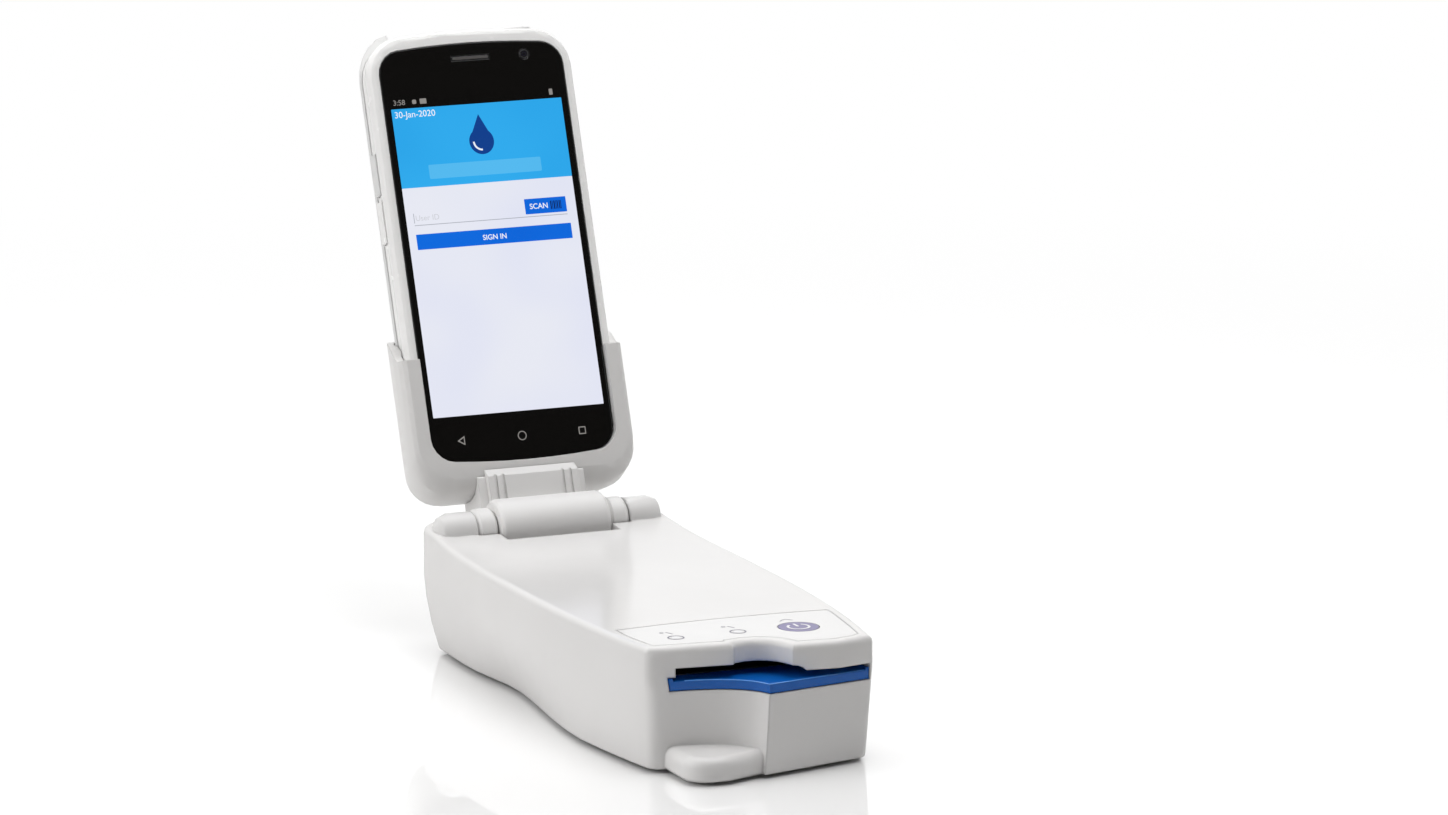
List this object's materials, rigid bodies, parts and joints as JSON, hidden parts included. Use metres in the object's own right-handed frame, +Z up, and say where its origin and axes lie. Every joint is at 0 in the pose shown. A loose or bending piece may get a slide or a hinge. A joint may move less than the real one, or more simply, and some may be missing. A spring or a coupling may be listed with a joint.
{
  "type": "portable blood gas analyzer",
  "caption": "Hand-carried analyzer: a flat card reader with a tilting cradle at its rear that holds a lift-out touch-screen handheld.",
  "frame": {"origin": "middle of the whole object's footprint, on the surface that it stands on", "axes": "+X to the right as seen by the user, +Y to the back, away from the card slot, +Z up"},
  "size_m": [0.0886, 0.2877, 0.1997],
  "materials": {
    "shell_plastic": "glossy warm light grey moulded plastic",
    "base_plastic": "satin light grey moulded plastic",
    "bezel_blue": "glossy royal blue plastic",
    "overlay_film": "smooth printed membrane film",
    "button_violet": "satin lavender rubberised key top",
    "light_pipe": "clear grey-blue light pipe",
    "cradle_plastic": "satin warm grey moulded plastic",
    "steel": "plain turned steel",
    "brass": "gold-plated contact springs",
    "aluminium": "bare aluminium",
    "rubber": "black rubber",
    "board_green": "green circuit board",
    "cell_wrap": "dark shrink wrap",
    "dark_plastic": "black moulded plastic",
    "host_white": "satin white plastic",
    "host_grey": "grey plastic with a fine grain",
    "glass_black": "black-backed cover glass",
    "display": "lit display"
  },
  "bodies": {
    "reader": {"upper_shell": "shell_plastic", "base_plate": "base_plastic", "battery_cover": "base_plastic", "rubber_foot_1": "rubber", "rubber_foot_2": "rubber", "rubber_foot_3": "rubber", "rubber_foot_4": "rubber", "base_screw_1": "steel", "base_screw_2": "steel", "base_screw_3": "steel", "base_screw_4": "steel", "battery_pack": "cell_wrap", "main_board": "board_green", "card_guide": "dark_plastic", "contact_block": "dark_plastic", "charger_inlet": "dark_plastic", "heater_plate": "aluminium", "contact_strip": "brass", "slot_bezel": "bezel_blue", "control_overlay": "overlay_film", "status_light_1": "light_pipe", "status_light_2": "light_pipe", "collar_left": "cradle_plastic", "collar_right": "cradle_plastic", "hinge_pin": "steel"},
    "cradle": {"cradle_shell": "cradle_plastic", "hinge_arm": "cradle_plastic", "dock_plug": "dark_plastic", "cradle_screw_left": "steel", "cradle_screw_right": "steel", "friction_insert_left": "steel", "friction_insert_right": "steel"},
    "host": {"host_frame": "host_white", "front_glass": "glass_black", "front_camera": "glass_black", "rear_camera": "glass_black", "camera_flash": "glass_black", "scan_window": "glass_black", "earpiece_grille": "dark_plastic", "display_panel": "display", "host_board": "board_green", "rear_cover": "host_grey", "host_battery": "host_grey"},
    "power_button_body": {"power_button": "button_violet"},
    "scan_key_left_body": {"scan_key_left": "host_white"},
    "talk_key_body": {"talk_key": "host_white"},
    "scan_key_right_body": {"scan_key_right": "host_white"},
    "volume_rocker_body": {"volume_rocker": "host_white"},
    "host_power_key_body": {"host_power_key": "host_white"},
    "battery_latch_left_body": {"battery_latch_left": "dark_plastic"},
    "battery_latch_right_body": {"battery_latch_right": "dark_plastic"}
  },
  "joints": [
    {"name": "cradle_tilt", "type": "hinge", "parent": "reader", "child": "cradle", "pos_m": [0, 0.0568, 0.042], "axis": [1, 0, 0], "range_deg": [-20, 110]},
    {"name": "host_lift", "type": "slide", "parent": "cradle", "child": "host", "axis": [0, 0.3498, 0.9368], "range_m": [0, 0.05]},
    {"name": "power_button_press", "type": "slide", "parent": "reader", "child": "power_button_body", "axis": [0, 0, -1], "range_m": [0, 0.0004], "stiffness_N_per_m": 1500},
    {"name": "scan_key_left_press", "type": "slide", "parent": "host", "child": "scan_key_left_body", "axis": [1, 0, 0], "range_m": [0, 0.0005], "stiffness_N_per_m": 1200},
    {"name": "talk_key_press", "type": "slide", "parent": "host", "child": "talk_key_body", "axis": [1, 0, 0], "range_m": [0, 0.0005], "stiffness_N_per_m": 1200},
    {"name": "scan_key_right_press", "type": "slide", "parent": "host", "child": "scan_key_right_body", "axis": [-1, 0, 0], "range_m": [0, 0.0005], "stiffness_N_per_m": 1200},
    {"name": "volume_rocker_press", "type": "slide", "parent": "host", "child": "volume_rocker_body", "axis": [-1, 0, 0], "range_m": [0, 0.0005], "stiffness_N_per_m": 1200},
    {"name": "host_power_key_press", "type": "slide", "parent": "host", "child": "host_power_key_body", "axis": [0, -0.3498, -0.9368], "range_m": [0, 0.0005], "stiffness_N_per_m": 1200},
    {"name": "battery_latch_left_slide", "type": "slide", "parent": "host", "child": "battery_latch_left_body", "axis": [0, -0.3498, -0.9368], "range_m": [0, 0.0012], "stiffness_N_per_m": 500},
    {"name": "battery_latch_right_slide", "type": "slide", "parent": "host", "child": "battery_latch_right_body", "axis": [0, -0.3498, -0.9368], "range_m": [0, 0.0012], "stiffness_N_per_m": 500}
  ]
}
